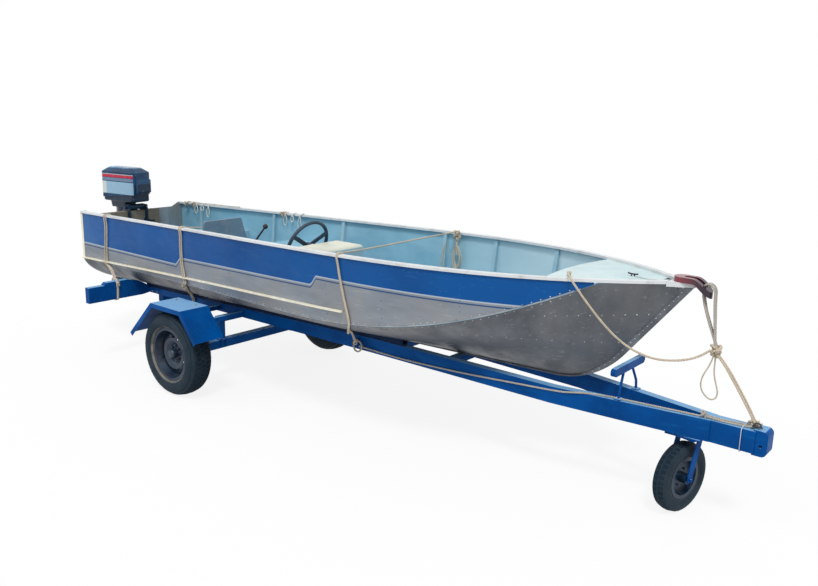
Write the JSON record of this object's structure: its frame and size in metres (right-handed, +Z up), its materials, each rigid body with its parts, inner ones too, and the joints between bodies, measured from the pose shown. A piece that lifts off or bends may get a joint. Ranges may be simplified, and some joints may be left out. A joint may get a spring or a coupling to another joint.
{
  "type": "aluminium fishing boat on road trailer",
  "caption": "Open riveted aluminium fishing boat with an outboard motor and helm console, roped down on a blue road trailer with mudguards and a nose castor.",
  "frame": {"origin": "on the ground, under the middle of the length from the motor to the tow nose", "axes": "+X forward towards the bow and the tow nose, +Y to port, +Z up"},
  "size_m": [5.7201, 1.68, 1.43],
  "materials": {
    "hull_aluminium": "satin",
    "trim_white": "gloss",
    "inside_paint": "satin",
    "console_moulding": "satin",
    "black_plastic": "matte",
    "handle_plastic": "satin",
    "board_wood": "matte",
    "motor_cowl_paint": "gloss",
    "motor_metal": "satin",
    "propeller_metal": "satin",
    "trailer_blue": "satin",
    "rubber_tyre": "matte",
    "rim_paint": "satin",
    "rope": "matte"
  },
  "bodies": {
    "boat_on_trailer": {"aft_bench": "inside_paint", "axle": "trailer_blue", "axle_mount_port": "trailer_blue", "axle_mount_starboard": "trailer_blue", "bow_cap": "trim_white", "bow_deck": "inside_paint", "bow_handle": "handle_plastic", "bow_lashing": "rope", "bow_stop": "trailer_blue", "castor_plate": "trailer_blue", "console": "console_moulding", "cross_members": "trailer_blue", "floor": "inside_paint", "frame_rail_port": "trailer_blue", "frame_rail_starboard": "trailer_blue", "gunwale_port": "trim_white", "gunwale_starboard": "trim_white", "helm_bench": "inside_paint", "helm_seat_back": "console_moulding", "hull_bottom_port": "hull_aluminium", "hull_bottom_starboard": "hull_aluminium", "hull_side_port": "hull_aluminium", "hull_side_starboard": "hull_aluminium", "keel_bar": "hull_aluminium", "motor_board": "board_wood", "motor_clamp_bracket": "motor_metal", "mudguard_port": "trailer_blue", "mudguard_starboard": "trailer_blue", "painter": "rope", "painter_knot": "rope", "rear_light_bar": "trailer_blue", "remote_control": "black_plastic", "rope_drop": "rope", "rope_hank": "rope", "rope_tail": "rope", "side_ribs": "hull_aluminium", "spray_rails": "hull_aluminium", "tow_nose": "trailer_blue", "transom": "hull_aluminium"},
    "helm_wheel_body": {"helm_wheel": "black_plastic"},
    "motor_tilting": {"motor_swivel_bracket": "motor_metal"},
    "motor_steering": {"motor_cowl": "motor_cowl_paint", "motor_lower_cowl": "motor_cowl_paint", "motor_leg": "motor_metal", "motor_gearcase": "motor_metal"},
    "propeller_body": {"propeller": "propeller_metal"},
    "wheel_port": {"tyre_port": "rubber_tyre", "rim_port": "rim_paint"},
    "wheel_starboard": {"tyre_starboard": "rubber_tyre", "rim_starboard": "rim_paint"},
    "castor_swivelling": {"castor_fork": "trailer_blue"},
    "castor_wheel": {"castor_tyre": "rubber_tyre", "castor_rim": "rim_paint"}
  },
  "joints": [
    {"name": "wheel_port_spin", "type": "hinge", "parent": "boat_on_trailer", "child": "wheel_port", "pos_m": [-0.88594, 0.737, 0.297], "axis": [0, 1, 0], "continuous": true},
    {"name": "wheel_starboard_spin", "type": "hinge", "parent": "boat_on_trailer", "child": "wheel_starboard", "pos_m": [-0.88594, -0.737, 0.297], "axis": [0, 1, 0], "continuous": true},
    {"name": "castor_swivel", "type": "hinge", "parent": "boat_on_trailer", "child": "castor_swivelling", "pos_m": [2.45706, 0.048, 0.42], "axis": [0, 0, 1], "continuous": true},
    {"name": "castor_wheel_spin", "type": "hinge", "parent": "castor_swivelling", "child": "castor_wheel", "pos_m": [2.44375, -0.00537, 0.187], "axis": [0.9703, -0.2419, 0], "continuous": true},
    {"name": "motor_tilt", "type": "hinge", "parent": "boat_on_trailer", "child": "motor_tilting", "pos_m": [-2.48594, 0, 1.098], "axis": [0, 1, 0], "range_deg": [0, 60]},
    {"name": "motor_steer", "type": "hinge", "parent": "motor_tilting", "child": "motor_steering", "pos_m": [-2.58794, 0, 0.9], "axis": [0, 0, 1], "range_deg": [-45, 25]},
    {"name": "propeller_spin", "type": "hinge", "parent": "motor_steering", "child": "propeller_body", "pos_m": [-2.7849, -0.03473, 0.4], "axis": [0.9848, 0.1736, 0], "continuous": true},
    {"name": "helm_turn", "type": "hinge", "parent": "boat_on_trailer", "child": "helm_wheel_body", "pos_m": [-0.18594, -0.155, 1.077], "axis": [-0.9397, 0, 0.342], "range_deg": [-400, 720]}
  ],
  "couplings": [
    {"joint": "helm_turn", "follows": "motor_steer", "ratio": -15.4}
  ]
}
